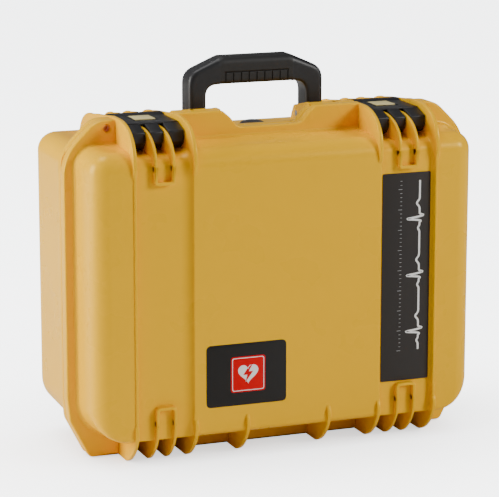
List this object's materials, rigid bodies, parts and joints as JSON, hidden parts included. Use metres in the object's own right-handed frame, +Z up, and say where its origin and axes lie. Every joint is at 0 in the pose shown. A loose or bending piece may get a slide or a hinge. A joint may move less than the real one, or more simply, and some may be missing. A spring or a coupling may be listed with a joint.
{
  "type": "defibrillator in carrying case",
  "caption": "Yellow hard carrying case standing on its hinge side, with a folding handle and press latches, holding a defibrillator in foam.",
  "frame": {"origin": "on the floor under the middle of the case's box", "axes": "+Z up to the handle, the lid's face towards -Y, +X to the right seen from the lid's face"},
  "size_m": [0.411, 0.168, 0.3735],
  "materials": {
    "shell_plastic": "moulded yellow plastic with a fine satin grain",
    "seal_rubber": "black rubber, matt",
    "pin_steel": "bright drawn steel",
    "black_plastic": "black moulded plastic, satin",
    "pad_plastic": "pale yellow moulded plastic",
    "valve_plastic": "dark grey plastic",
    "membrane": "white breathable film",
    "badge_black": "black plate, semi-gloss",
    "badge_red": "red printed film",
    "label_film": "dark brown-black film, satin",
    "label_ink": "white ink",
    "foam": "open-cell foam, dark grey",
    "pouch_foil": "laminated foil pouch",
    "unit_plastic": "dark grey moulded plastic",
    "lens": "clear window",
    "panel": "liquid crystal panel",
    "power_green": "green key",
    "shock_orange": "orange key",
    "key_grey": "grey key",
    "board_green": "circuit board",
    "capacitor_sleeve": "plastic sleeve"
  },
  "bodies": {
    "base": {"base_shell": "shell_plastic", "hinge_pin_left": "pin_steel", "hinge_pin_right": "pin_steel", "handle_pin_left": "pin_steel", "handle_pin_right": "pin_steel", "valve_body": "valve_plastic", "valve_cap": "valve_plastic", "valve_seal": "seal_rubber", "valve_membrane": "membrane", "base_foam": "foam", "pads_pouch": "pouch_foil", "unit_front_case": "unit_plastic", "unit_rear_case": "unit_plastic", "unit_seal": "seal_rubber", "unit_bumper": "seal_rubber", "display_lens": "lens", "display_panel": "panel", "electrode_socket": "key_grey", "battery_pack": "unit_plastic", "main_board": "board_green", "capacitor": "capacitor_sleeve", "speaker": "unit_plastic", "unit_screws": "pin_steel"},
    "lid": {"lid_shell": "shell_plastic", "lid_gasket": "seal_rubber", "latch_pin_left": "pin_steel", "latch_pin_right": "pin_steel", "badge_plate": "badge_black", "badge_symbol": "badge_red", "side_label": "label_film", "label_trace": "label_ink", "lid_foam": "foam"},
    "handle": {"handle_frame": "black_plastic", "handle_grip": "seal_rubber"},
    "latch_left": {"latch_left": "black_plastic", "latch_spring_left": "pin_steel"},
    "latch_right": {"latch_right": "black_plastic", "latch_spring_right": "pin_steel"},
    "button_left": {"latch_button_left": "black_plastic", "button_pad_left": "pad_plastic"},
    "button_right": {"latch_button_right": "black_plastic", "button_pad_right": "pad_plastic"},
    "power_key": {"power_button": "power_green"},
    "shock_key": {"shock_button": "shock_orange"},
    "menu_key_left": {"menu_button_left": "key_grey"},
    "menu_key_right": {"menu_button_right": "key_grey"}
  },
  "joints": [
    {"name": "lid_hinge", "type": "hinge", "parent": "base", "child": "lid", "pos_m": [0, -0.0214, 0.007], "axis": [1, 0, 0], "range_deg": [0, 100]},
    {"name": "handle_pivot", "type": "hinge", "parent": "base", "child": "handle", "pos_m": [0, 0.014, 0.313], "axis": [-1, 0, 0], "range_deg": [-12, 88]},
    {"name": "latch_left_pivot", "type": "hinge", "parent": "lid", "child": "latch_left", "pos_m": [-0.12315, -0.0475, 0.311], "axis": [1, 0, 0], "range_deg": [0, 65]},
    {"name": "latch_right_pivot", "type": "hinge", "parent": "lid", "child": "latch_right", "pos_m": [0.12315, -0.0475, 0.311], "axis": [1, 0, 0], "range_deg": [0, 65]},
    {"name": "button_left_press", "type": "slide", "parent": "latch_left", "child": "button_left", "axis": [0, 0, -1], "range_m": [0, 0.0022], "stiffness_N_per_m": 700, "springref_m": -0.001},
    {"name": "button_right_press", "type": "slide", "parent": "latch_right", "child": "button_right", "axis": [0, 0, -1], "range_m": [0, 0.0022], "stiffness_N_per_m": 700, "springref_m": -0.001},
    {"name": "power_press", "type": "slide", "parent": "base", "child": "power_key", "axis": [0, 1, 0], "range_m": [0, 0.0016], "stiffness_N_per_m": 600, "springref_m": -0.001},
    {"name": "shock_press", "type": "slide", "parent": "base", "child": "shock_key", "axis": [0, 1, 0], "range_m": [0, 0.0016], "stiffness_N_per_m": 600, "springref_m": -0.001},
    {"name": "menu_left_press", "type": "slide", "parent": "base", "child": "menu_key_left", "axis": [0, 1, 0], "range_m": [0, 0.0016], "stiffness_N_per_m": 600, "springref_m": -0.001},
    {"name": "menu_right_press", "type": "slide", "parent": "base", "child": "menu_key_right", "axis": [0, 1, 0], "range_m": [0, 0.0016], "stiffness_N_per_m": 600, "springref_m": -0.001}
  ]
}
